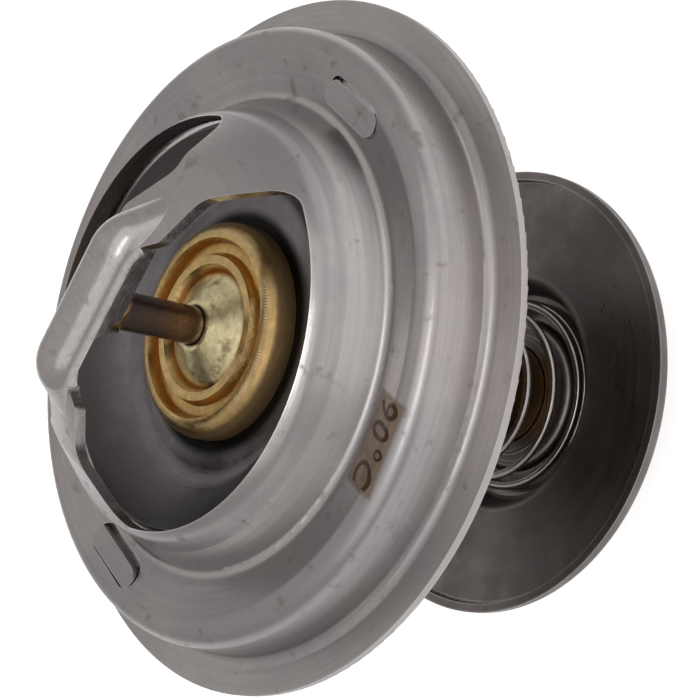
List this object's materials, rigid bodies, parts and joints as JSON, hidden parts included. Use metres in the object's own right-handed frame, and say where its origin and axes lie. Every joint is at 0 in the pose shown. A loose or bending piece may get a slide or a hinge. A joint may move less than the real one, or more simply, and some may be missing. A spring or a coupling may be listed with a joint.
{
  "type": "engine thermostat",
  "caption": "Round flanged coolant valve: pressed flange with a bridge, wax element, sprung main valve and sprung bypass disc.",
  "frame": {"origin": "centre of the flange brim, on its outlet-side face", "axes": "+Z along the valve axis towards the coolant outlet and the bridge, bridge and lower-frame legs along Y, X across the bridge"},
  "size_m": [0.067, 0.067, 0.0583],
  "materials": {
    "flange_steel": "satin pressed stainless steel",
    "frame_steel": "satin pressed stainless steel",
    "valve_steel": "dull pressed steel",
    "guide_brass": "turned brass",
    "can_brass": "drawn brass",
    "pin_steel": "ground steel",
    "spring_steel": "drawn spring wire",
    "disc_steel": "smoky pressed steel",
    "clip_steel": "dark spring steel",
    "boot_rubber": "moulded rubber",
    "washer_plastic": "white low-friction plastic",
    "wax": "copper-filled wax"
  },
  "bodies": {
    "frame": {"flange_bridge": "flange_steel", "lower_frame": "frame_steel", "piston_pin": "pin_steel", "main_spring": "spring_steel"},
    "valve": {"main_valve_plate": "valve_steel", "element_guide": "guide_brass", "element_can": "can_brass", "support_washer": "washer_plastic", "rubber_sleeve": "boot_rubber", "wax_charge": "wax", "bypass_spring": "spring_steel", "retaining_clip": "clip_steel"},
    "bypass": {"bypass_disc": "disc_steel"}
  },
  "joints": [
    {"name": "valve_lift", "type": "slide", "parent": "frame", "child": "valve", "axis": [0, 0, -1], "range_m": [0, 0.008], "stiffness_N_per_m": 3000, "springref_m": -0.012, "deforming": ["main_spring"]},
    {"name": "bypass_travel", "type": "slide", "parent": "valve", "child": "bypass", "axis": [0, 0, 1], "range_m": [0, 0.005], "stiffness_N_per_m": 600, "springref_m": -0.008, "deforming": ["bypass_spring"]}
  ]
}
